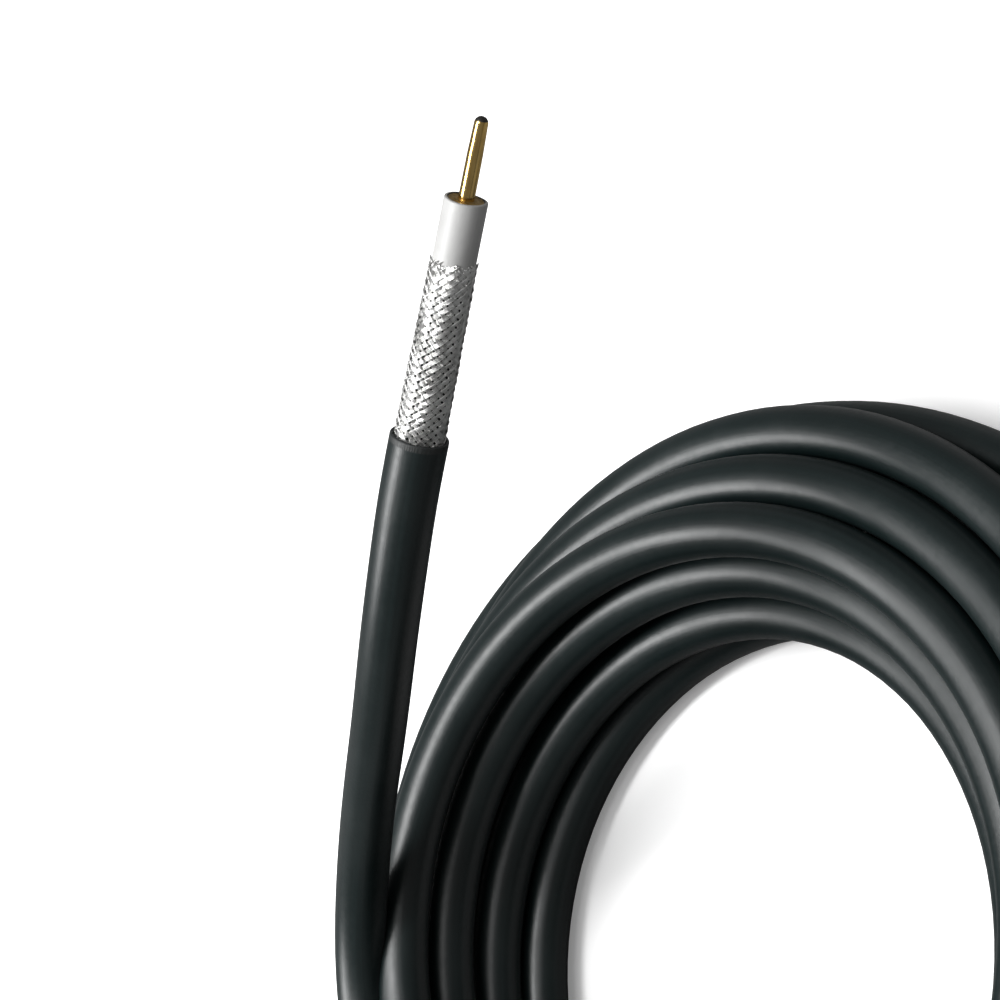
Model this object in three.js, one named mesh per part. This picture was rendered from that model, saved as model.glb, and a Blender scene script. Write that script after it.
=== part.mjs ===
// Coaxial cable coil: a loose flat coil of stiff black cable, whose outermost turn leaves the coil
// on its far side and springs up to a stripped end of braid, dielectric and centre conductor.
// Millimetres, +Z up. The coil lies flat on z = 0, and the origin is at the middle of the whole
// part's bounding box there, so the middle of the coil's eye lies a little beside it along X.

import * as THREE from 'three';

// Cable sizes
const JACKET_DIAMETER = 10.3;
const BRAID_DIAMETER = 9.0;
const BRAID_END_DIAMETER = 8.1;
const DIELECTRIC_DIAMETER = 7.2;
const CONDUCTOR_DIAMETER = 2.74;

// Bared lengths at the stripped end, and how deep each layer sits in the one around it
const BRAID_LENGTH = 32;
const DIELECTRIC_LENGTH = 10.5;
const CONDUCTOR_LENGTH = 14;
const SEAT_DEPTH = 5;
const CLEARANCE = 0.3;

// Room under the free end where it lies on the coil's shoulder, for the flats of both solids
const REST_CLEARANCE = 0.6;

// Coil sizes: the radius of the eye, and the pitch of the turns on the floor and up the heap
const EYE_RADIUS = 60;
const FLOOR_TURNS = 4;
const FLOOR_PITCH = 10.45;
const HEAP_PITCH = 10.3;

// How each turn of the outer flank and of the eye's wall leans on the one below it, in degrees up
// from the outward direction
const OUTER_LEANS = [93, 122, 140];
const INNER_LEANS = [98, 72, 60];

// Facets
const COIL_SEGMENTS = 48;
const ARC_STEP_DEGREES = 30;
const CORD_SIDES = 12;
const CORD_STEPS = 24;
const ROUND_SEGMENTS = 32;
const TIP_RINGS = 4;

// Materials of the sub-parts
const jacketLook = new THREE.MeshStandardMaterial({ color: 0x1a1f1f, roughness: 0.42, metalness: 0 });
const braidLook = new THREE.MeshStandardMaterial({ color: 0xb9bcbd, roughness: 0.35, metalness: 1 });
const dielectricLook = new THREE.MeshStandardMaterial({ color: 0xe4e5e2, roughness: 0.5, metalness: 0 });
const conductorLook = new THREE.MeshStandardMaterial({ color: 0xb08a4a, roughness: 0.3, metalness: 1 });

const JACKET_RADIUS = JACKET_DIAMETER / 2;

// Centre of a turn that leans on another, as (radius, height)
function leaningTurn(below, degrees) {
  const angle = THREE.MathUtils.degToRad(degrees);
  const step = new THREE.Vector2(Math.cos(angle), Math.sin(angle)).multiplyScalar(HEAP_PITCH);
  return below.clone().add(step);
}

// The turns that show on the outside of the heap, walked around it: out along the floor, up the
// outer flank, over the crest and down the wall of the eye
function shownTurns() {
  const floor = [];
  for (let i = 0; i < FLOOR_TURNS; i += 1) {
    floor.push(new THREE.Vector2(EYE_RADIUS + JACKET_RADIUS + i * FLOOR_PITCH, JACKET_RADIUS));
  }
  const flank = [];
  for (const lean of OUTER_LEANS) {
    flank.push(leaningTurn(flank.length ? flank[flank.length - 1] : floor[FLOOR_TURNS - 1], lean));
  }
  const wall = [];
  for (const lean of INNER_LEANS) {
    wall.unshift(leaningTurn(wall.length ? wall[0] : floor[0], lean));
  }
  return { floor, flank, wall, all: [...floor, ...flank, ...wall] };
}

const turns = shownTurns();

// Closed outline of the heap's section. Each turn adds the arc that faces out of the heap, as flats
// that touch its circle, so a floor turn's lowest flat is level and lies on the floor. Between two
// turns the outline dips to the point midway between their centres.
function heapOutline() {
  const outline = [];
  const count = turns.all.length;
  const step = THREE.MathUtils.degToRad(ARC_STEP_DEGREES);
  const flatRadius = JACKET_RADIUS / Math.cos(step / 2);
  for (let i = 0; i < count; i += 1) {
    const here = turns.all[i];
    const previous = turns.all[(i + count - 1) % count];
    const next = turns.all[(i + 1) % count];
    outline.push(previous.clone().add(here).multiplyScalar(0.5));
    const from = previous.clone().sub(here).angle();
    let to = next.clone().sub(here).angle();
    if (to < from) to += 2 * Math.PI;
    const firstCorner = Math.ceil((from + step * 0.6) / step - 0.5) + 0.5;
    for (let corner = firstCorner; corner * step < to - step * 0.6; corner += 1) {
      const angle = corner * step;
      outline.push(new THREE.Vector2(
        here.x + flatRadius * Math.cos(angle),
        here.y + flatRadius * Math.sin(angle),
      ));
    }
  }
  outline.push(outline[0].clone());
  return outline;
}

// The wound turns, as one turned solid with its open eye
function cableCoil() {
  const geometry = new THREE.LatheGeometry(heapOutline(), COIL_SEGMENTS);
  geometry.rotateX(Math.PI / 2);
  const mesh = new THREE.Mesh(geometry, jacketLook);
  mesh.name = 'cable_coil';
  return mesh;
}

// The groove on the coil's outer shoulder where the free end lies: between the crest's outer turn
// and the one below it
const shoulderInner = turns.flank[turns.flank.length - 1];
const shoulderOuter = turns.flank[turns.flank.length - 2];
const REST_DISTANCE = JACKET_DIAMETER / Math.cos(Math.PI / CORD_SIDES) + REST_CLEARANCE;

function shoulderRest() {
  const across = shoulderOuter.clone().sub(shoulderInner);
  const rise = Math.sqrt(REST_DISTANCE ** 2 - (across.length() / 2) ** 2);
  const outward = new THREE.Vector2(-across.y, across.x).normalize();
  return shoulderInner.clone().addScaledVector(across, 0.5).addScaledVector(outward, rise);
}

const rest = shoulderRest();

// Where the free end lies on the shoulder, in degrees about the coil's axis, and how finely it is
// followed
const REST_START_DEGREES = 200;
const REST_END_DEGREES = 120;
const REST_STEP_DEGREES = 16;

// The free stretch beyond the shoulder, chosen point by point, up to the cut of the jacket
const FREE_POINTS = [
  [-20, 86.5, 41.1],
  [-3.5, 82.3, 47.7],
  [13.8, 68.4, 62.1],
  [31.2, 51, 78.3],
  [48.3, 36.2, 92.7],
  [60.6, 28.9, 99.4],
  [68.8, 24.6, 103.6],
  [78.1, 20.5, 106.4],
];

// Route of the free end: an arc on the shoulder, then the chosen points
function freeEndRoute() {
  const points = [];
  for (let a = REST_START_DEGREES; a >= REST_END_DEGREES; a -= REST_STEP_DEGREES) {
    const angle = THREE.MathUtils.degToRad(a);
    points.push(new THREE.Vector3(rest.x * Math.cos(angle), rest.x * Math.sin(angle), rest.y));
  }
  for (const point of FREE_POINTS) points.push(new THREE.Vector3(...point));
  return new THREE.CatmullRomCurve3(points, false, 'centripetal');
}

const route = freeEndRoute();
const cutPoint = route.getPointAt(1);
const cutDirection = route.getTangentAt(1);

// The jacket of the free end: a round section swept along the route
function freeEndJacket() {
  const section = new THREE.Shape();
  for (let i = 0; i < CORD_SIDES; i += 1) {
    const angle = (2 * Math.PI * i) / CORD_SIDES;
    const x = JACKET_RADIUS * Math.cos(angle);
    const y = JACKET_RADIUS * Math.sin(angle);
    if (i === 0) section.moveTo(x, y);
    else section.lineTo(x, y);
  }
  section.closePath();
  const geometry = new THREE.ExtrudeGeometry(section, { steps: CORD_STEPS, extrudePath: route, curveSegments: 1 });
  const mesh = new THREE.Mesh(geometry, jacketLook);
  mesh.name = 'free_end_jacket';
  return mesh;
}

// A turned piece of the stripped end, its own axis up, lying along the cable from a given distance
// beyond the jacket's cut
function strippedPiece(name, outline, look, distance) {
  const geometry = new THREE.LatheGeometry(outline, ROUND_SEGMENTS);
  const mesh = new THREE.Mesh(geometry, look);
  mesh.name = name;
  mesh.quaternion.setFromUnitVectors(new THREE.Vector3(0, 1, 0), cutDirection);
  mesh.position.copy(cutPoint).addScaledVector(cutDirection, distance);
  return mesh;
}

// Braid: a sleeve that narrows to its cut edge, with a socket there for the dielectric
function braidSleeve() {
  const socketRadius = DIELECTRIC_DIAMETER / 2 + CLEARANCE;
  const outline = [
    new THREE.Vector2(0, 0),
    new THREE.Vector2(BRAID_DIAMETER / 2, 0),
    new THREE.Vector2(BRAID_END_DIAMETER / 2, BRAID_LENGTH),
    new THREE.Vector2(socketRadius, BRAID_LENGTH),
    new THREE.Vector2(socketRadius, BRAID_LENGTH - SEAT_DEPTH),
    new THREE.Vector2(0, BRAID_LENGTH - SEAT_DEPTH),
  ];
  return strippedPiece('braid_sleeve', outline, braidLook, CLEARANCE);
}

// Dielectric: a smooth cylinder with a bore in its cut face for the conductor
function dielectricInsulator() {
  const radius = DIELECTRIC_DIAMETER / 2;
  const boreRadius = CONDUCTOR_DIAMETER / 2 + CLEARANCE;
  const length = DIELECTRIC_LENGTH + SEAT_DEPTH - CLEARANCE;
  const outline = [
    new THREE.Vector2(0, 0),
    new THREE.Vector2(radius, 0),
    new THREE.Vector2(radius, length),
    new THREE.Vector2(boreRadius, length),
    new THREE.Vector2(boreRadius, length - SEAT_DEPTH),
    new THREE.Vector2(0, length - SEAT_DEPTH),
  ];
  const start = CLEARANCE + BRAID_LENGTH - SEAT_DEPTH + CLEARANCE;
  return strippedPiece('dielectric_insulator', outline, dielectricLook, start);
}

// Centre conductor: solid wire with a round tip
function centreConductor() {
  const radius = CONDUCTOR_DIAMETER / 2;
  const length = CONDUCTOR_LENGTH + SEAT_DEPTH - CLEARANCE;
  const outline = [new THREE.Vector2(0, 0), new THREE.Vector2(radius, 0)];
  for (let i = 0; i <= TIP_RINGS; i += 1) {
    const angle = (Math.PI / 2) * (i / TIP_RINGS);
    const tipRadius = i === TIP_RINGS ? 0 : radius * Math.cos(angle);
    outline.push(new THREE.Vector2(tipRadius, length - radius + radius * Math.sin(angle)));
  }
  const start = CLEARANCE + BRAID_LENGTH + DIELECTRIC_LENGTH - SEAT_DEPTH + CLEARANCE;
  return strippedPiece('centre_conductor', outline, conductorLook, start);
}

const coaxialCableCoil = new THREE.Group();
coaxialCableCoil.add(cableCoil());
coaxialCableCoil.add(freeEndJacket());
coaxialCableCoil.add(braidSleeve());
coaxialCableCoil.add(dielectricInsulator());
coaxialCableCoil.add(centreConductor());

// Everything above is placed about the coil's own axis. The whole then moves so that its bounding
// box is centred over the origin.
coaxialCableCoil.updateMatrixWorld(true);
const middle = new THREE.Box3().setFromObject(coaxialCableCoil, true).getCenter(new THREE.Vector3());
coaxialCableCoil.position.set(-middle.x, -middle.y, 0);

export default coaxialCableCoil;
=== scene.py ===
"""Coaxial cable coil: a loose flat coil of stiff black cable whose outermost turn springs up to a
stripped end of braid, dielectric and centre conductor. Metres, +Z up, in the frame of the CAD part."""

import math
import random

import bpy
from mathutils import Matrix, Vector


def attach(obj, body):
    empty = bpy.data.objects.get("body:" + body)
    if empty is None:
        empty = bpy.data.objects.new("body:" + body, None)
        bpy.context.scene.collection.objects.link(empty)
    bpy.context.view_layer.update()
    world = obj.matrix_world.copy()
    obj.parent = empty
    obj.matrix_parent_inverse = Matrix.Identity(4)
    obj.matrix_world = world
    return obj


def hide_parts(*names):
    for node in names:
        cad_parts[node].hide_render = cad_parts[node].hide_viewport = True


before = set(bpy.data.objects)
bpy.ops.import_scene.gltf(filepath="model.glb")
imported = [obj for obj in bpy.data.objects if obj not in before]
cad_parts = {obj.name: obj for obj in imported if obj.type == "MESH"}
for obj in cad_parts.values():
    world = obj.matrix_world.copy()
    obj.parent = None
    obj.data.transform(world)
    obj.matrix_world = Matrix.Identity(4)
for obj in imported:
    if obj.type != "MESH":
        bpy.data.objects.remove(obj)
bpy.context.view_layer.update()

MM = 0.001
WHOLE_TURN = 2 * math.pi

# Cable sizes
JACKET_RADIUS = 5.15 * MM
JACKET_BORE = 4.62 * MM
BRAID_BASE_RADIUS = 4.5 * MM
BRAID_END_RADIUS = 4.05 * MM
DIELECTRIC_RADIUS = 3.7 * MM
CONDUCTOR_RADIUS = 1.37 * MM

# Bared lengths at the stripped end, and how deep each layer sits in the one around it
BRAID_LENGTH = 32 * MM
DIELECTRIC_LENGTH = 10.5 * MM
CONDUCTOR_LENGTH = 14 * MM
SEAT = 5 * MM

# Distances of the dielectric's cut face and the conductor's tip from the jacket's cut
DIELECTRIC_END = BRAID_LENGTH + DIELECTRIC_LENGTH
CONDUCTOR_END = DIELECTRIC_END + CONDUCTOR_LENGTH

# The jacket's sides, and its cut edge: how it is rounded, how far it stands out from the tube as a
# ratio and along the cable, and how far it reaches back outside and down the bore
JACKET_SIDES = 28
EDGE_ROUND = 0.35 * MM
EDGE_ROUND_STEPS = 5
EDGE_PROUD = 1.0005
EDGE_LIFT = EDGE_ROUND * 0.9
EDGE_SLEEVE = 1.2 * MM
BORE_CHAMFER = 0.1 * MM
BORE_DEPTH = 3 * MM

# Braid: flat carriers of a few wires each, wound both ways round the cable. The heights of the weave
# and of a wire's own sway are in wire radii. The sway runs through its angle, in radians, over a
# wire's length. The ragged cut is in millimetres.
CARRIERS = 16
WIRES = 3
WIRE_RADIUS = 0.122 * MM
WIRE_SIDES = 5
WIRE_STEPS = 84
WIRE_PITCH = 2.15 * WIRE_RADIUS
TURNS_OF_LAY = 1.35
BRAID_START = -2.5 * MM
BRAID_INSET = 0.3 * MM
WEAVE_HEIGHT = 1.35
SWAY_HEIGHT = 0.9
SWAY_ANGLE = 9
RAGGED_SHORT = -0.5
RAGGED_LONG = 0.25
BRAID_SEED = 5

# Foil under the wires, near black as painted shade where it shows between them: how deep it starts,
# how far it sinks below them at both ends in wire radii, and how far its end and its rim stay back
FOIL_DEPTH = 3 * MM
FOIL_SINK_AT_JACKET = 3.2
FOIL_SINK_AT_END = 3.0
FOIL_END_BACK = 0.9 * MM
FOIL_RIM_INSET = 0.2 * MM

# The dielectric's cut edge: each point's distance in from the side and back from the face
DIELECTRIC_EDGE = [(0.0, 0.25 * MM), (0.07 * MM, 0.08 * MM), (0.22 * MM, 0.0)]

# The dielectric's cut face: its white rim, the dark line inside the rim, the wave of the cut, and
# the uneven dish round the conductor
FACE_RIM = 0.5 * MM
DARK_LINE = 0.25 * MM
CUT_WAVE = 0.05 * MM
CUT_WAVE_ANGLE = 0.7
FACE_HOLE = CONDUCTOR_RADIUS * 0.9
FACE_SIDES = 56
FACE_RINGS = 9
FACE_OVERLAP = 0.02 * MM
FACE_STEP = 0.05 * MM
DISH_DEPTH = 0.16 * MM
DISH_SPREAD = 1.2
DISH_ROUGHNESS = 0.05 * MM
DISH_SEED = 11

# The conductor narrows a little to a round tip, which is dark at its end
CONDUCTOR_SIDES = 48
TIP_STEPS = 12
TIP_RADIUS = CONDUCTOR_RADIUS * 0.86
NARROWED_RADIUS = CONDUCTOR_RADIUS * 0.97
NARROWED_AT = DIELECTRIC_END + CONDUCTOR_LENGTH * 0.55
FULL_WIDTH_TO = DIELECTRIC_END + 0.3 * MM
DARK_TIP_FROM = CONDUCTOR_END - CONDUCTOR_RADIUS * 0.5
TIP_HOLE = 0.001 * MM

# The square cut of the far end: the braid's ring, the dielectric and the conductor
FAR_SIDES = 48
FAR_DEPTH = 0.4 * MM
FAR_HOLE = 0.02 * MM
FAR_BRAID_OUTER = JACKET_BORE + 0.05 * MM
FAR_BRAID_INNER = DIELECTRIC_RADIUS + 0.06 * MM
FAR_BRAID_LEVEL = -0.12 * MM
FAR_DIELECTRIC_OUTER = DIELECTRIC_RADIUS + 0.02 * MM
FAR_CONDUCTOR_LEVEL = 0.05 * MM

# The coil's own axis stands beside the middle of the whole part
COIL_AXIS = Vector((-13.36 * MM, 0, 0))

# Camera, placed about the coil's axis
CAMERA_LENS = 92.9
CAMERA_SENSOR = 36
CAMERA_NEAREST = 0.01
CAMERA_PLACE = COIL_AXIS + Vector((17.7, -297.7, 398.3)) * MM
TOWARDS_CAMERA = Vector((-0.119, -0.708, 0.696))
IMAGE_RIGHT = Vector((0.136, -0.706, -0.695))

# One row for each pass of the cable over the side that shows, in the order in which it is wound in
# from the free end. Radius and height in millimetres on the +X, +Y, -X and -Y sides of the coil.
PASSES = [
    ("shoulder turn", (94.8, 94.5, 92.0, 84.9), (27.5, 19.6, 25.5, 32.1)),
    ("first inner turn", (87.0, 84.8, 80.0, 77.5), (19.2, 17.0, 19.5, 21.6)),
    ("outer crest turn", (84.7, 87.4, 76.5, 73.8), (30.7, 29.0, 30.7, 32.4)),
    ("crest turn", (74.7, 80.4, 69.1, 63.4), (34.1, 37.8, 34.1, 30.4)),
    ("upper wall turn", (68.1, 78.4, 66.1, 55.8), (25.0, 26.7, 25.0, 23.4)),
    ("lower wall turn", (61.1, 75.7, 64.9, 50.3), (15.2, 15.2, 15.2, 15.2)),
    ("wall's floor turn", (64.1, 71.3, 66.3, 59.1), (5.3, 5.7, 7.4, 7.6)),
    ("second floor turn", (74.6, 81.8, 76.8, 69.5), (5.15, 5.15, 5.15, 5.15)),
    ("third floor turn", (85.0, 92.2, 87.2, 80.0), (5.15, 5.15, 5.15, 5.15)),
    ("outer floor turn", (95.5, 102.5, 97.6, 90.5), (5.15, 5.15, 5.15, 5.15)),
    ("flank turn", (97.9, 105.6, 98.5, 100.6), (16.6, 14.8, 16.5, 23.5)),
]

# Where each pass gives way to the next on the side that doesn't show, in degrees about the axis.
# The first row is the free end coming down on to the shoulder.
CHANGES = [
    (190, 292),
    (185, 290),
    (150, 260),
    (150, 260),
    (130, 235),
    (130, 235),
    (130, 235),
    (115, 245),
    (140, 250),
    (150, 260),
    (150, 282),
]

# Each pass is counted from this angle, and by the second one every change is over
PASS_START_DEGREES = 100
CHANGES_OVER_DEGREES = 300

# The free end on the shoulder: radius and height on the four sides, and where it is left
SHOULDER_SIDES = ((92.0, 90.9, 88.0, 86.5), (38.0, 38.9, 37.0, 40.0))
SHOULDER_START_DEGREES = 122

# Where the cable's far end is cut on its last pass
FAR_END_DEGREES = 138

# The free stretch beyond the shoulder in millimetres about the coil's axis, up to the jacket's cut
FREE_POINTS = [
    (-20, 86.5, 41.1),
    (-3.5, 82.3, 47.7),
    (13.8, 68.4, 62.1),
    (31.2, 51, 78.3),
    (48.3, 36.2, 92.7),
    (60.6, 28.9, 99.4),
    (68.8, 24.6, 103.6),
    (78.1, 20.5, 106.4),
]

# How finely the windings are placed, the even steps of the finished line, and how many finer parts
# each of those is first cut into
STEP_DEGREES = 3
ROUTE_STEP = 4.2
FINE_PARTS = 3

# The stiff cable's bends evened out: first step, last step and number of passes, over the whole
# free end and then again where it lifts off the coil
FREE_END_SOFTENING = (1, 70, 9)
LIFT_OFF_SOFTENING = (20, 70, 5)

# Floor and light. One long soft box reaches from straight overhead down behind the coil, towards
# its -X side. A large fill hangs overhead.
FLOOR_REACH = 3.0
FLOOR_LEVEL = -0.2 * MM
HIGH_END = Vector((0.14, 0.02, 1.0)).normalized()
LOW_END = Vector((-0.46, 0.72, 0.52)).normalized()
KEY_DISTANCE = 1.3
KEY_WIDTH = 0.32
KEY_POWER = 22
FILL_PLACE = Vector((0.1, -0.1, 1.6))
FILL_SIDE = 1.2
FILL_POWER = 9
WORLD_STRENGTH = 0.17

# The Mix node's sockets for a factor, two colours and the mixed colour
MIX_FACTOR = 0
MIX_COLORS = (6, 7)
MIX_RESULT = 2


# Camera


def aim_camera():
    """The camera at the photograph's viewing angle."""
    data = bpy.data.cameras.new("camera")
    data.lens = CAMERA_LENS
    data.sensor_width = CAMERA_SENSOR
    data.clip_start = CAMERA_NEAREST
    camera = bpy.data.objects.new("camera", data)
    bpy.context.scene.collection.objects.link(camera)
    back = TOWARDS_CAMERA.normalized()
    right = (IMAGE_RIGHT - back * IMAGE_RIGHT.dot(back)).normalized()
    up = back.cross(right)
    turned_to = Matrix((right, up, back)).transposed().to_4x4()
    camera.matrix_world = Matrix.Translation(CAMERA_PLACE) @ turned_to
    bpy.context.scene.camera = camera


aim_camera()


# Route of the cable


def around(sides, degrees):
    """A value given on the +X, +Y, -X and -Y sides, at that angle about the coil's axis."""
    east, north, west, south = sides
    angle = math.radians(degrees)
    mean = (east + north + west + south) / 4
    return (
        mean
        + (east - west) / 2 * math.cos(angle)
        + (north - south) / 2 * math.sin(angle)
        + (east + west - north - south) / 4 * math.cos(2 * angle)
    )


def ease(t):
    """A smooth step from 0 to 1 that starts and ends level."""
    t = min(1.0, max(0.0, t))
    return t * t * t * (t * (6 * t - 15) + 10)


def change_share(row, degrees):
    """How far the cable has gone over from that row of PASSES to the next, from 0 to 1."""
    if row + 1 >= len(PASSES):
        return 0.0
    turn = degrees % 360
    if turn < PASS_START_DEGREES:
        turn += 360
    if turn > CHANGES_OVER_DEGREES:
        return 1.0
    start, end = CHANGES[row + 1]
    return ease((turn - start) / (end - start))


def section_place(row, degrees):
    """Radius and height of the cable, in millimetres, on the stretch that starts as that row."""
    here = SHOULDER_SIDES if row < 0 else PASSES[row][1:]
    share = change_share(row, degrees)
    if share == 0:
        return tuple(around(sides, degrees) for sides in here)
    there = PASSES[row + 1][1:]
    return tuple(
        (1 - share) * around(a, degrees) + share * around(b, degrees) for a, b in zip(here, there)
    )


def wound_points():
    """The cable's line from the shoulder inwards to its far end, in millimetres."""
    points = []
    last = FAR_END_DEGREES + 360 * len(PASSES)
    for degrees in range(SHOULDER_START_DEGREES, last + 1, STEP_DEGREES):
        row = (degrees - PASS_START_DEGREES) // 360 - 1
        radius, height = section_place(row, degrees)
        angle = math.radians(degrees)
        points.append(Vector((radius * math.cos(angle), radius * math.sin(angle), height)))
    return points


def smooth_line(points, spacing):
    """A smooth centripetal curve through the points, cut into even steps of about that length."""
    fine = []
    ends = [points[0] * 2 - points[1]] + points + [points[-1] * 2 - points[-2]]
    for i in range(1, len(ends) - 2):
        p0, p1, p2, p3 = ends[i - 1 : i + 3]
        knots = [0.0]
        for a, b in ((p0, p1), (p1, p2), (p2, p3)):
            knots.append(knots[-1] + math.sqrt((b - a).length))
        k0, k1, k2, k3 = knots
        parts = max(2, int((p2 - p1).length / spacing) * FINE_PARTS)
        for j in range(parts):
            t = k1 + (k2 - k1) * j / parts
            a1 = p0.lerp(p1, (t - k0) / (k1 - k0))
            a2 = p1.lerp(p2, (t - k1) / (k2 - k1))
            a3 = p2.lerp(p3, (t - k2) / (k3 - k2))
            b1 = a1.lerp(a2, (t - k0) / (k2 - k0))
            b2 = a2.lerp(a3, (t - k1) / (k3 - k1))
            fine.append(b1.lerp(b2, (t - k1) / (k2 - k1)))
    fine.append(points[-1].copy())
    return even_steps(fine, spacing)


def even_steps(fine, spacing):
    """Points at even distances along a finely cut line."""
    lengths = [0.0]
    for a, b in zip(fine, fine[1:]):
        lengths.append(lengths[-1] + (b - a).length)
    count = max(2, round(lengths[-1] / spacing))
    even = []
    i = 0
    for j in range(count + 1):
        distance = lengths[-1] * j / count
        while i < len(fine) - 2 and lengths[i + 1] < distance:
            i += 1
        step = lengths[i + 1] - lengths[i]
        even.append(fine[i].lerp(fine[i + 1], (distance - lengths[i]) / step if step else 0))
    return even


def softened(line, first, last, passes):
    """The line with the bends between two of its points evened out, each towards its neighbours."""
    for _ in range(passes):
        mended = [
            line[i - 1] * 0.25 + line[i] * 0.5 + line[i + 1] * 0.25 for i in range(first, last)
        ]
        line = line[:first] + mended + line[last:]
    return line


def cable_route():
    """The cable's whole line in metres, from the jacket's cut to the far end."""
    free_points = [Vector(point) for point in reversed(FREE_POINTS)]
    line = smooth_line(free_points + wound_points(), ROUTE_STEP)
    line = softened(line, *FREE_END_SOFTENING)
    line = softened(line, *LIFT_OFF_SOFTENING)
    return [COIL_AXIS + point * MM for point in line]


route = cable_route()
cut_point = route[0]
cut_direction = (route[0] - route[1]).normalized()
far_point = route[-1]
far_direction = (route[-1] - route[-2]).normalized()


# Meshes


def make_mesh(name, vertices, faces, uvs=None, smooth=True):
    """A new object in the scene. uvs, where given, holds one place for each vertex."""
    mesh = bpy.data.meshes.new(name)
    mesh.from_pydata([tuple(vertex) for vertex in vertices], [], faces)
    mesh.update()
    if uvs:
        layer = mesh.uv_layers.new(name="along")
        for loop in mesh.loops:
            layer.data[loop.index].uv = uvs[loop.vertex_index]
    if smooth:
        mesh.polygons.foreach_set("use_smooth", [True] * len(mesh.polygons))
    piece = bpy.data.objects.new(name, mesh)
    bpy.context.scene.collection.objects.link(piece)
    return piece


def carried_frames(line):
    """Tangent, normal and binormal at each point, carried along without twist."""
    frames = []
    normal = None
    for i in range(len(line)):
        ahead = line[min(i + 1, len(line) - 1)]
        behind = line[max(i - 1, 0)]
        tangent = (ahead - behind).normalized()
        if normal is None:
            normal = tangent.cross(Vector((0, 0, 1))).normalized()
        normal = (normal - tangent * normal.dot(tangent)).normalized()
        frames.append((tangent, normal, tangent.cross(normal)))
    return frames


def tube_along(line, radius, sides, vertices, faces, uvs, cap=False):
    """Adds a tube round a line of points to the lists of vertices, faces and their places."""
    first = len(vertices)
    run = 0.0
    for i, (point, (_, normal, binormal)) in enumerate(zip(line, carried_frames(line))):
        if i:
            run += (point - line[i - 1]).length
        for j in range(sides + 1):
            angle = WHOLE_TURN * j / sides
            sideways = normal * (radius * math.cos(angle))
            vertices.append(point + sideways + binormal * (radius * math.sin(angle)))
            uvs.append((run, j / sides))
    ring = sides + 1
    for i in range(len(line) - 1):
        for j in range(sides):
            a = first + i * ring + j
            faces.append((a, a + ring, a + ring + 1, a + 1))
    if cap:
        last = first + (len(line) - 1) * ring
        faces.append(tuple(first + j for j in range(sides)))
        faces.append(tuple(last + sides - 1 - j for j in range(sides)))


def turned(name, outline, sides=64, wobble=None):
    """A piece turned about its own Z from an outline of (radius, height), open at both ends."""
    vertices, faces, uvs = [], [], []
    for i, (radius, height) in enumerate(outline):
        for j in range(sides + 1):
            angle = WHOLE_TURN * j / sides
            extra = wobble(angle, i) if wobble else 0
            place = (radius * math.cos(angle), radius * math.sin(angle), height + extra)
            vertices.append(place)
            uvs.append((height, j / sides))
    ring = sides + 1
    for i in range(len(outline) - 1):
        for j in range(sides):
            a = i * ring + j
            faces.append((a, a + 1, a + ring + 1, a + ring))
    return make_mesh(name, vertices, faces, uvs)


def ring_points(radius, height, sides):
    """Points of a level circle about Z."""
    points = []
    for j in range(sides):
        angle = WHOLE_TURN * j / sides
        points.append((radius * math.cos(angle), radius * math.sin(angle), height))
    return points


def ring_faces(first, rings, sides):
    """Faces between neighbouring circles of points, the first point of all at that index."""
    faces = []
    for i in range(rings):
        for j in range(sides):
            k = (j + 1) % sides
            a = first + i * sides
            faces.append((a + j, a + k, a + sides + k, a + sides + j))
    return faces


def set_on_cable(piece, point, direction):
    """Turns a piece's own Z to that direction and puts its foot at that point."""
    across = direction.cross(Vector((0, 0, 1))).normalized()
    turned_to = Matrix((across, direction.cross(across), direction)).transposed().to_4x4()
    piece.matrix_world = Matrix.Translation(point) @ turned_to


def darken_beyond(piece, is_beyond):
    """Gives the dark tip's material to the faces whose middle passes the test."""
    piece.data.materials.append(DARK_TIP)
    for polygon in piece.data.polygons:
        if is_beyond(polygon.center):
            polygon.material_index = 1


# Shader nodes


def grey(tone):
    return (tone, tone, tone, 1)


def set_input(tree, socket, value):
    """Links an output socket to an input, or sets the input to a value."""
    if isinstance(value, bpy.types.NodeSocket):
        tree.links.new(value, socket)
    else:
        socket.default_value = value


def add(tree, kind, inputs=(), **settings):
    """A node with its settings, and its inputs given as (input, value or output socket)."""
    node = tree.nodes.new(kind)
    for key, value in settings.items():
        setattr(node, key, value)
    for key, value in inputs:
        set_input(tree, node.inputs[key], value)
    return node


def object_place(tree):
    return add(tree, "ShaderNodeTexCoord").outputs["Object"]


def noise(tree, place, scale, detail):
    inputs = [("Vector", place), ("Scale", scale), ("Detail", detail)]
    return add(tree, "ShaderNodeTexNoise", inputs).outputs["Fac"]


def ramp(tree, factor, low, high):
    """A colour that goes from one (place, colour) to another as the factor grows."""
    node = add(tree, "ShaderNodeValToRGB", [("Fac", factor)])
    for element, (place, color) in zip(node.color_ramp.elements, (low, high)):
        element.position = place
        element.color = color
    return node.outputs["Color"]


def math_node(tree, operation, *values):
    inputs = list(enumerate(values))
    return add(tree, "ShaderNodeMath", inputs, operation=operation).outputs[0]


def mix_color(tree, factor, a, b):
    inputs = list(zip((MIX_FACTOR, *MIX_COLORS), (factor, a, b)))
    return add(tree, "ShaderNodeMix", inputs, data_type="RGBA").outputs[MIX_RESULT]


def bump(tree, height, strength, distance):
    inputs = [("Height", height), ("Strength", strength), ("Distance", distance)]
    return add(tree, "ShaderNodeBump", inputs).outputs["Normal"]


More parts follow.
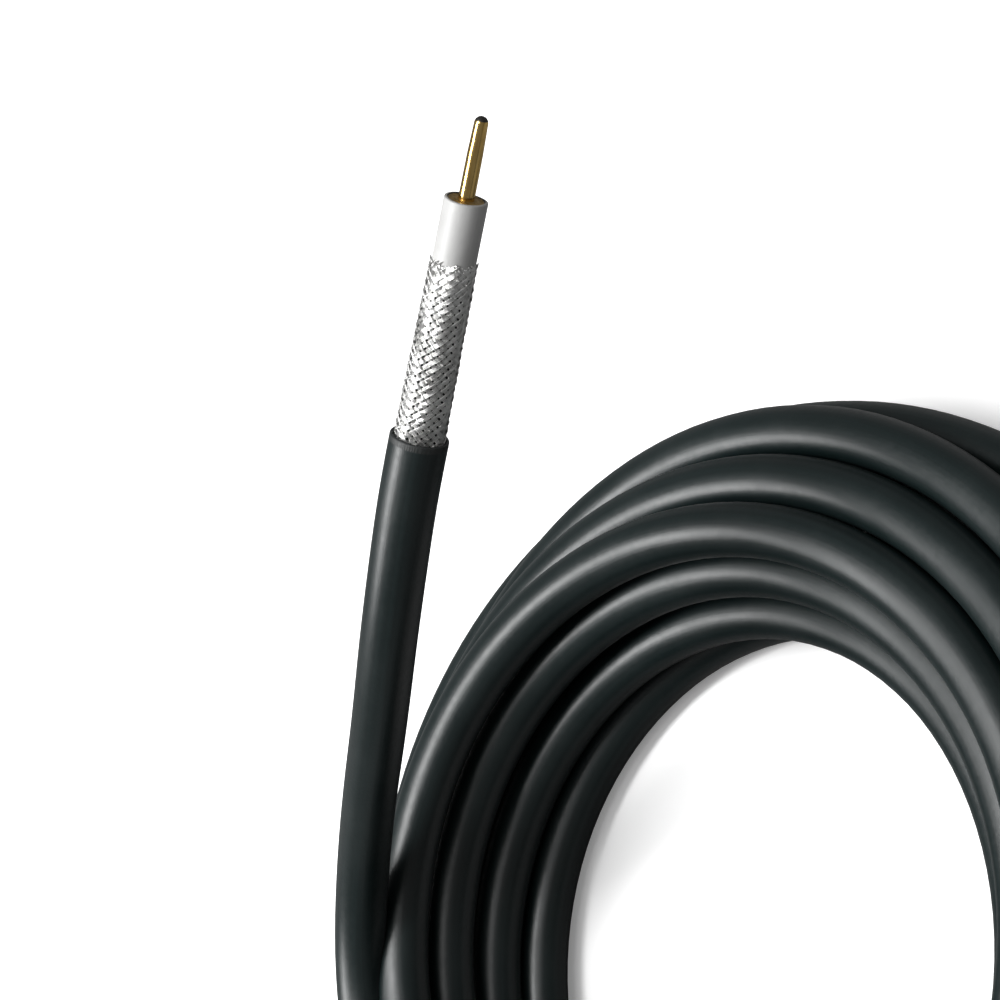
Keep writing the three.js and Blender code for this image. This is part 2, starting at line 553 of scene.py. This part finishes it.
def handled_wear_group():
    """Dust, faint rubbing and uneven gloss of a handled surface."""
    group = bpy.data.node_groups.new("handled wear", "ShaderNodeTree")
    for label, kind, value in (
        ("Color", "NodeSocketColor", grey(0.5)),
        ("Roughness", "NodeSocketFloat", 0.4),
        ("Dust Color", "NodeSocketColor", (0.4, 0.4, 0.38, 1)),
        ("Dust", "NodeSocketFloat", 0.1),
        ("Scale", "NodeSocketFloat", 60.0),
    ):
        socket = group.interface.new_socket(label, in_out="INPUT", socket_type=kind)
        socket.default_value = value
    for label, kind in (
        ("Color", "NodeSocketColor"),
        ("Roughness", "NodeSocketFloat"),
        ("Height", "NodeSocketFloat"),
    ):
        group.interface.new_socket(label, in_out="OUTPUT", socket_type=kind)
    given = group.nodes.new("NodeGroupInput").outputs
    result = group.nodes.new("NodeGroupOutput").inputs
    place = object_place(group)
    fineness = 14.0
    gloss_spread = 0.16
    patch_dulling = 0.05

    broad = noise(group, place, scale=given["Scale"], detail=6.0)
    patch = ramp(group, broad, (0.42, grey(0)), (0.72, grey(1)))
    amount = math_node(group, "MULTIPLY", patch, given["Dust"])
    color = mix_color(group, amount, given["Color"], given["Dust Color"])

    fine_scale = math_node(group, "MULTIPLY", given["Scale"], fineness)
    fine = noise(group, place, scale=fine_scale, detail=4.0)
    fine_gloss = math_node(group, "MULTIPLY_ADD", fine, gloss_spread, -gloss_spread / 2)
    patch_gloss = math_node(group, "MULTIPLY", patch, patch_dulling)
    rough = math_node(group, "ADD", given["Roughness"], fine_gloss)
    rough = math_node(group, "ADD", rough, patch_gloss)

    group.links.new(color, result["Color"])
    group.links.new(rough, result["Roughness"])
    group.links.new(fine, result["Height"])
    return group


HANDLED_WEAR = handled_wear_group()


# Materials


def new_material(name):
    material = bpy.data.materials.new(name)
    material.use_nodes = True
    return material, material.node_tree, material.node_tree.nodes["Principled BSDF"]


def wear_surface(tree, surface, color, roughness, dust_color, dust, scale):
    """Puts the handled wear on a surface, and returns the height of its fine grain."""
    inputs = [
        ("Color", color),
        ("Roughness", roughness),
        ("Dust Color", dust_color),
        ("Dust", dust),
        ("Scale", scale),
    ]
    node = tree.nodes.new("ShaderNodeGroup")
    node.node_tree = HANDLED_WEAR
    for key, value in inputs:
        set_input(tree, node.inputs[key], value)
    tree.links.new(node.outputs["Color"], surface.inputs["Base Color"])
    tree.links.new(node.outputs["Roughness"], surface.inputs["Roughness"])
    return node.outputs["Height"]


def jacket_material():
    """Black extruded jacket with a soft sheen and long, faint drawing lines."""
    material, tree, surface = new_material("black cable jacket")
    along = add(tree, "ShaderNodeUVMap", uv_map="along").outputs["UV"]
    stretch = [("Vector", along), ("Scale", (6.0, 40.0, 1.0))]
    drawn = add(tree, "ShaderNodeMapping", stretch).outputs["Vector"]
    lines = noise(tree, drawn, scale=1.0, detail=3.0)
    body = ramp(tree, lines, (0.3, (0.003, 0.0072, 0.0074, 1)), (0.75, (0.0052, 0.011, 0.0113, 1)))
    grain = wear_surface(
        tree, surface, body, roughness=0.37, dust_color=(0.04, 0.05, 0.05, 1), dust=0.06, scale=70.0
    )
    surface.inputs["Specular IOR Level"].default_value = 0.5
    height = math_node(tree, "ADD", grain, lines)
    normal = bump(tree, height, strength=0.25, distance=0.08 * MM)
    tree.links.new(normal, surface.inputs["Normal"])
    return material


def cut_material(name, color, roughness):
    """Knife-cut plastic with fine parallel marks."""
    material, tree, surface = new_material(name)
    wave = [("Vector", object_place(tree)), ("Scale", 900.0), ("Distortion", 3.0), ("Detail", 2.0)]
    marks = add(tree, "ShaderNodeTexWave", wave).outputs["Fac"]
    darker = tuple(part * 0.7 for part in color[:3]) + (1,)
    tone = mix_color(tree, marks, darker, color)
    wear_surface(
        tree, surface, tone, roughness=roughness, dust_color=(0.2, 0.2, 0.19, 1), dust=0.12, scale=160.0
    )
    normal = bump(tree, marks, strength=0.4, distance=0.05 * MM)
    tree.links.new(normal, surface.inputs["Normal"])
    return material


def braid_material():
    """Bright tinned wire, a little different from strand to strand."""
    material, tree, surface = new_material("tinned braid wire")
    patches = noise(tree, object_place(tree), scale=900.0, detail=3.0)
    tone = ramp(tree, patches, (0.3, (0.62, 0.62, 0.61, 1)), (0.7, (0.9, 0.9, 0.89, 1)))
    wear_surface(
        tree, surface, tone, roughness=0.3, dust_color=(0.35, 0.34, 0.32, 1), dust=0.25, scale=260.0
    )
    surface.inputs["Metallic"].default_value = 1.0
    normal = bump(tree, patches, strength=0.3, distance=0.03 * MM)
    tree.links.new(normal, surface.inputs["Normal"])
    return material


def under_braid_shade_material():
    """Foil under the strands, near black as painted shade where it is seen between them."""
    material, tree, surface = new_material("foil under the braid in painted shade")
    # Near black: painted shade between the wires, not the foil's own colour
    painted_shade_color = (0.02, 0.021, 0.022, 1)
    grain = wear_surface(
        tree, surface, painted_shade_color, roughness=0.55, dust_color=grey(0.06), dust=0.3, scale=300.0
    )
    normal = bump(tree, grain, strength=0.3, distance=0.04 * MM)
    tree.links.new(normal, surface.inputs["Normal"])
    return material


def dielectric_material():
    """Smooth off-white foam plastic."""
    material, tree, surface = new_material("white dielectric")
    clouds = noise(tree, object_place(tree), scale=220.0, detail=3.0)
    tone = ramp(tree, clouds, (0.3, (0.44, 0.44, 0.435, 1)), (0.75, (0.49, 0.49, 0.485, 1)))
    grain = wear_surface(
        tree, surface, tone, roughness=0.45, dust_color=(0.5, 0.49, 0.47, 1), dust=0.12, scale=200.0
    )
    surface.inputs["Subsurface Weight"].default_value = 0.1
    surface.inputs["Subsurface Radius"].default_value = (MM, MM, MM)
    normal = bump(tree, grain, strength=0.15, distance=0.04 * MM)
    tree.links.new(normal, surface.inputs["Normal"])
    return material


def brass_material(name, tone_low, tone_high, roughness):
    """Gold-coloured metal with marks drawn along it."""
    material, tree, surface = new_material(name)
    stretch = [("Vector", object_place(tree)), ("Scale", (1.0, 1.0, 0.08))]
    drawn = add(tree, "ShaderNodeMapping", stretch).outputs["Vector"]
    marks = noise(tree, drawn, scale=2600.0, detail=4.0)
    tone = ramp(tree, marks, (0.3, tone_low), (0.72, tone_high))
    wear_surface(
        tree, surface, tone, roughness=roughness, dust_color=(0.25, 0.17, 0.08, 1), dust=0.3, scale=400.0
    )
    surface.inputs["Metallic"].default_value = 1.0
    normal = bump(tree, marks, strength=0.35, distance=0.03 * MM)
    tree.links.new(normal, surface.inputs["Normal"])
    return material


def floor_material():
    """White to the camera, and a darker grey to the light that it throws back on the cable."""
    material, tree, surface = new_material("pale floor")
    clouds = noise(tree, object_place(tree), scale=3.0, detail=2.0)
    tone = ramp(tree, clouds, (0.3, grey(0.93)), (0.7, grey(0.95)))
    seen = tree.nodes.new("ShaderNodeLightPath").outputs["Is Camera Ray"]
    tree.links.new(mix_color(tree, seen, grey(0.16), tone), surface.inputs["Base Color"])
    surface.inputs["Roughness"].default_value = 0.95
    surface.inputs["Specular IOR Level"].default_value = 0.0
    surface.inputs["Emission Color"].default_value = grey(1)
    tree.links.new(math_node(tree, "MULTIPLY", seen, 0.2), surface.inputs["Emission Strength"])
    return material


JACKET = jacket_material()
JACKET_CUT = cut_material("cut jacket edge", (0.012, 0.015, 0.015, 1), roughness=0.55)
BRAID = braid_material()
UNDER_BRAID_SHADE = under_braid_shade_material()
DIELECTRIC = dielectric_material()
DIELECTRIC_CUT = brass_material(
    "gold-brown cut face", (0.28, 0.17, 0.05, 1), (0.62, 0.46, 0.2, 1), roughness=0.5
)
CONDUCTOR = brass_material(
    "brass centre conductor", (0.75, 0.48, 0.14, 1), (0.95, 0.68, 0.26, 1), roughness=0.16
)
DARK_TIP = cut_material("dark tip", (0.012, 0.01, 0.008, 1), roughness=0.35)


# Cable jacket


def cable_jacket():
    """The whole jacket as one tube along the route."""
    vertices, faces, uvs = [], [], []
    tube_along(route, JACKET_RADIUS, JACKET_SIDES, vertices, faces, uvs)
    piece = make_mesh("cable_jacket", vertices, faces, uvs)
    piece.data.materials.append(JACKET)
    return piece


def cut_edge(name, point, direction):
    """The jacket's cut end: a slightly rounded rim and a ring-shaped face with its bore."""
    outline = [(JACKET_RADIUS * EDGE_PROUD, -EDGE_SLEEVE)]
    for i in range(EDGE_ROUND_STEPS + 1):
        angle = math.pi / 2 * i / EDGE_ROUND_STEPS
        radius = JACKET_RADIUS - EDGE_ROUND + EDGE_ROUND * math.cos(angle)
        outline.append((radius, -EDGE_ROUND + EDGE_ROUND * math.sin(angle)))
    outline.append((JACKET_BORE + BORE_CHAMFER, 0))
    outline.append((JACKET_BORE, -BORE_CHAMFER))
    outline.append((JACKET_BORE, -BORE_DEPTH))
    piece = turned(name, outline)
    piece.data.materials.append(JACKET_CUT)
    set_on_cable(piece, point + direction * EDGE_LIFT, direction)
    return piece


jacket = cable_jacket()
jacket_edge = cut_edge("jacket_cut_edge", cut_point, cut_direction)


# Braid


def braid_radius(s):
    """Radius of the braid's middle layer at a distance s beyond the jacket's cut."""
    share = s / BRAID_LENGTH
    return BRAID_BASE_RADIUS + (BRAID_END_RADIUS - BRAID_BASE_RADIUS) * share - BRAID_INSET


def wire_line(sense, carrier, wire, ragged, sway, phase):
    """Line of one wire, which goes over and under the wires that it crosses."""
    beside = (wire - (WIRES - 1) / 2) * WIRE_PITCH
    crossings = CARRIERS * TURNS_OF_LAY * 2
    weave_start = math.pi * (carrier + (0.0 if sense > 0 else 1.0))
    line = []
    for i in range(WIRE_STEPS + 1):
        share = i / WIRE_STEPS
        s = BRAID_START + (BRAID_LENGTH + ragged - BRAID_START) * share
        radius = braid_radius(max(0, s))
        lay = s / BRAID_LENGTH * TURNS_OF_LAY * WHOLE_TURN
        tilt = math.atan2(radius * TURNS_OF_LAY * WHOLE_TURN, BRAID_LENGTH)
        across = beside / math.cos(tilt) / radius
        angle = sense * (lay + WHOLE_TURN * carrier / CARRIERS) + across
        weave = math.sin((s / BRAID_LENGTH) * crossings * math.pi / 2 + weave_start)
        swaying = sway * math.sin(SWAY_ANGLE * share + phase)
        r = radius + WEAVE_HEIGHT * WIRE_RADIUS * weave + swaying
        line.append(Vector((r * math.cos(angle), r * math.sin(angle), s)))
    return line


def braid_wires():
    """All the wires of the braid, each a little ragged at its cut and a little uneven."""
    rng = random.Random(BRAID_SEED)
    vertices, faces, uvs = [], [], []
    for sense in (1, -1):
        for carrier in range(CARRIERS):
            for wire in range(WIRES):
                ragged = rng.uniform(RAGGED_SHORT, RAGGED_LONG) * MM
                sway = rng.uniform(-SWAY_HEIGHT, SWAY_HEIGHT) * WIRE_RADIUS
                phase = rng.uniform(0, WHOLE_TURN)
                line = wire_line(sense, carrier, wire, ragged, sway, phase)
                tube_along(line, WIRE_RADIUS, WIRE_SIDES, vertices, faces, uvs, cap=True)
    piece = make_mesh("braid_wires", vertices, faces, uvs)
    piece.data.materials.append(BRAID)
    return piece


def painted_shade_foil():
    """The foil under the wires, near black as painted shade where it shows between them."""
    foil_end = BRAID_LENGTH - FOIL_END_BACK
    outline = [
        (braid_radius(0) - FOIL_SINK_AT_JACKET * WIRE_RADIUS, -FOIL_DEPTH),
        (braid_radius(BRAID_LENGTH) - FOIL_SINK_AT_END * WIRE_RADIUS, foil_end),
        (DIELECTRIC_RADIUS - FOIL_RIM_INSET, foil_end),
    ]
    piece = turned("painted_shade_foil", outline)
    piece.data.materials.append(UNDER_BRAID_SHADE)
    return piece


braid = braid_wires()
set_on_cable(braid, cut_point, cut_direction)
under_braid = painted_shade_foil()
set_on_cable(under_braid, cut_point, cut_direction)


# Dielectric


def slightly_wavy(angle, i):
    """Wave of the cut end, which leaves the foot of the outline level."""
    return CUT_WAVE * math.sin(2 * angle + CUT_WAVE_ANGLE) if i > 0 else 0


def dielectric_body():
    """The white cylinder, its cut edge a little rounded."""
    outline = [(DIELECTRIC_RADIUS, BRAID_LENGTH - SEAT)]
    for inwards, back in DIELECTRIC_EDGE:
        outline.append((DIELECTRIC_RADIUS - inwards, DIELECTRIC_END - back))
    outline.append((DIELECTRIC_RADIUS - FACE_RIM, DIELECTRIC_END))
    piece = turned("dielectric", outline, wobble=slightly_wavy)
    piece.data.materials.append(DIELECTRIC)
    return piece


def cut_face():
    """The dielectric's cut face: a shallow, uneven gold-brown dish with a dark line round it."""
    rng = random.Random(DISH_SEED)
    vertices = []
    outer = DIELECTRIC_RADIUS - FACE_RIM + FACE_OVERLAP
    for i in range(FACE_RINGS + 1):
        share = i / FACE_RINGS
        dish = DISH_DEPTH * math.sin(math.pi * min(1, share * DISH_SPREAD))
        height = DIELECTRIC_END - FACE_STEP - dish
        for x, y, z in ring_points(outer + (FACE_HOLE - outer) * share, height, FACE_SIDES):
            if 0 < i < FACE_RINGS:
                z += rng.uniform(-DISH_ROUGHNESS, DISH_ROUGHNESS)
            vertices.append((x, y, z))
    piece = make_mesh("dielectric_cut_face", vertices, ring_faces(0, FACE_RINGS, FACE_SIDES))
    piece.data.materials.append(DIELECTRIC_CUT)
    dark_from = DIELECTRIC_RADIUS - FACE_RIM - DARK_LINE
    darken_beyond(piece, lambda middle: middle.xy.length > dark_from)
    return piece


dielectric = dielectric_body()
set_on_cable(dielectric, cut_point, cut_direction)
dielectric_face = cut_face()
set_on_cable(dielectric_face, cut_point, cut_direction)


# Centre conductor


def centre_conductor():
    """Solid wire that narrows a little to a round dark tip."""
    outline = [
        (CONDUCTOR_RADIUS, DIELECTRIC_END - SEAT),
        (CONDUCTOR_RADIUS, FULL_WIDTH_TO),
        (NARROWED_RADIUS, NARROWED_AT),
    ]
    tip_start = CONDUCTOR_END - TIP_RADIUS
    for i in range(TIP_STEPS + 1):
        angle = math.pi / 2 * i / TIP_STEPS
        radius = max(TIP_RADIUS * math.cos(angle), TIP_HOLE)
        outline.append((radius, tip_start + TIP_RADIUS * math.sin(angle)))
    piece = turned("centre_conductor_wire", outline, sides=CONDUCTOR_SIDES)
    piece.data.materials.append(CONDUCTOR)
    darken_beyond(piece, lambda middle: middle.z > DARK_TIP_FROM)
    return piece


conductor = centre_conductor()
set_on_cable(conductor, cut_point, cut_direction)


# Far end, cut square


def far_section():
    """Braid ring, dielectric and conductor as they show on the square cut of the far end."""
    layers = [
        (BRAID, FAR_BRAID_OUTER, FAR_BRAID_INNER, FAR_BRAID_LEVEL),
        (DIELECTRIC, FAR_DIELECTRIC_OUTER, CONDUCTOR_RADIUS, 0.0),
        (CONDUCTOR, CONDUCTOR_RADIUS, FAR_HOLE, FAR_CONDUCTOR_LEVEL),
    ]
    vertices, faces, owners = [], [], []
    for owner, (_, outer, inner, level) in enumerate(layers):
        first = len(vertices)
        for radius, height in ((outer, level - FAR_DEPTH), (outer, level), (inner, level)):
            vertices += ring_points(radius, height, FAR_SIDES)
        faces += ring_faces(first, 2, FAR_SIDES)
        if inner == FAR_HOLE:
            faces.append(tuple(first + 2 * FAR_SIDES + j for j in range(FAR_SIDES)))
        owners += [owner] * (len(faces) - len(owners))
    piece = make_mesh("far_end_section", vertices, faces, smooth=False)
    for material, *_ in layers:
        piece.data.materials.append(material)
    piece.data.polygons.foreach_set("material_index", owners)
    return piece


far_edge = cut_edge("far_end_cut_edge", far_point, far_direction)
far_face = far_section()
set_on_cable(far_face, far_point, far_direction)


# Hiding the CAD part's own pieces, and giving each new piece its body

bpy.context.view_layer.update()
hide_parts("cable_coil", "free_end_jacket")
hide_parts("braid_sleeve")
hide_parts("dielectric_insulator")
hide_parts("centre_conductor")
for piece in (
    jacket,
    jacket_edge,
    braid,
    under_braid,
    dielectric,
    dielectric_face,
    conductor,
    far_edge,
    far_face,
):
    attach(piece, "root")


# Floor and light


def lay_floor():
    """A pale level floor just under the part."""
    corners = [(-1, -1), (1, -1), (1, 1), (-1, 1)]
    vertices = [(x * FLOOR_REACH, y * FLOOR_REACH, FLOOR_LEVEL) for x, y in corners]
    piece = make_mesh("floor", vertices, [(0, 1, 2, 3)], smooth=False)
    piece.data.materials.append(floor_material())
    return piece


def area_light(name, place, target, long_way, size, power):
    """A rectangular lamp that faces the target, its first side along long_way."""
    data = bpy.data.lights.new(name, "AREA")
    data.shape = "RECTANGLE"
    data.size, data.size_y = size
    data.energy = power
    light = bpy.data.objects.new(name, data)
    bpy.context.scene.collection.objects.link(light)
    back = (place - target).normalized()
    across = (long_way - back * long_way.dot(back)).normalized()
    turned_to = Matrix((across, back.cross(across), back)).transposed().to_4x4()
    light.matrix_world = Matrix.Translation(place) @ turned_to


def light_scene():
    """The soft box, the fill overhead and the even light of a pale room."""
    key_place = COIL_AXIS + (HIGH_END + LOW_END) * (KEY_DISTANCE / 2)
    key_way = HIGH_END - LOW_END
    key_size = (key_way.length * KEY_DISTANCE, KEY_WIDTH)
    area_light("soft box", key_place, COIL_AXIS, key_way, key_size, KEY_POWER)
    origin = Vector((0, 0, 0))
    fill_size = (FILL_SIDE, FILL_SIDE)
    area_light("overhead fill", FILL_PLACE, origin, Vector((1, 0, 0)), fill_size, FILL_POWER)
    world = bpy.data.worlds.new("studio")
    world.use_nodes = True
    backdrop = world.node_tree.nodes["Background"]
    backdrop.inputs["Color"].default_value = grey(1)
    backdrop.inputs["Strength"].default_value = WORLD_STRENGTH
    bpy.context.scene.world = world


floor = lay_floor()
light_scene()
bpy.context.scene.view_settings.view_transform = "Standard"
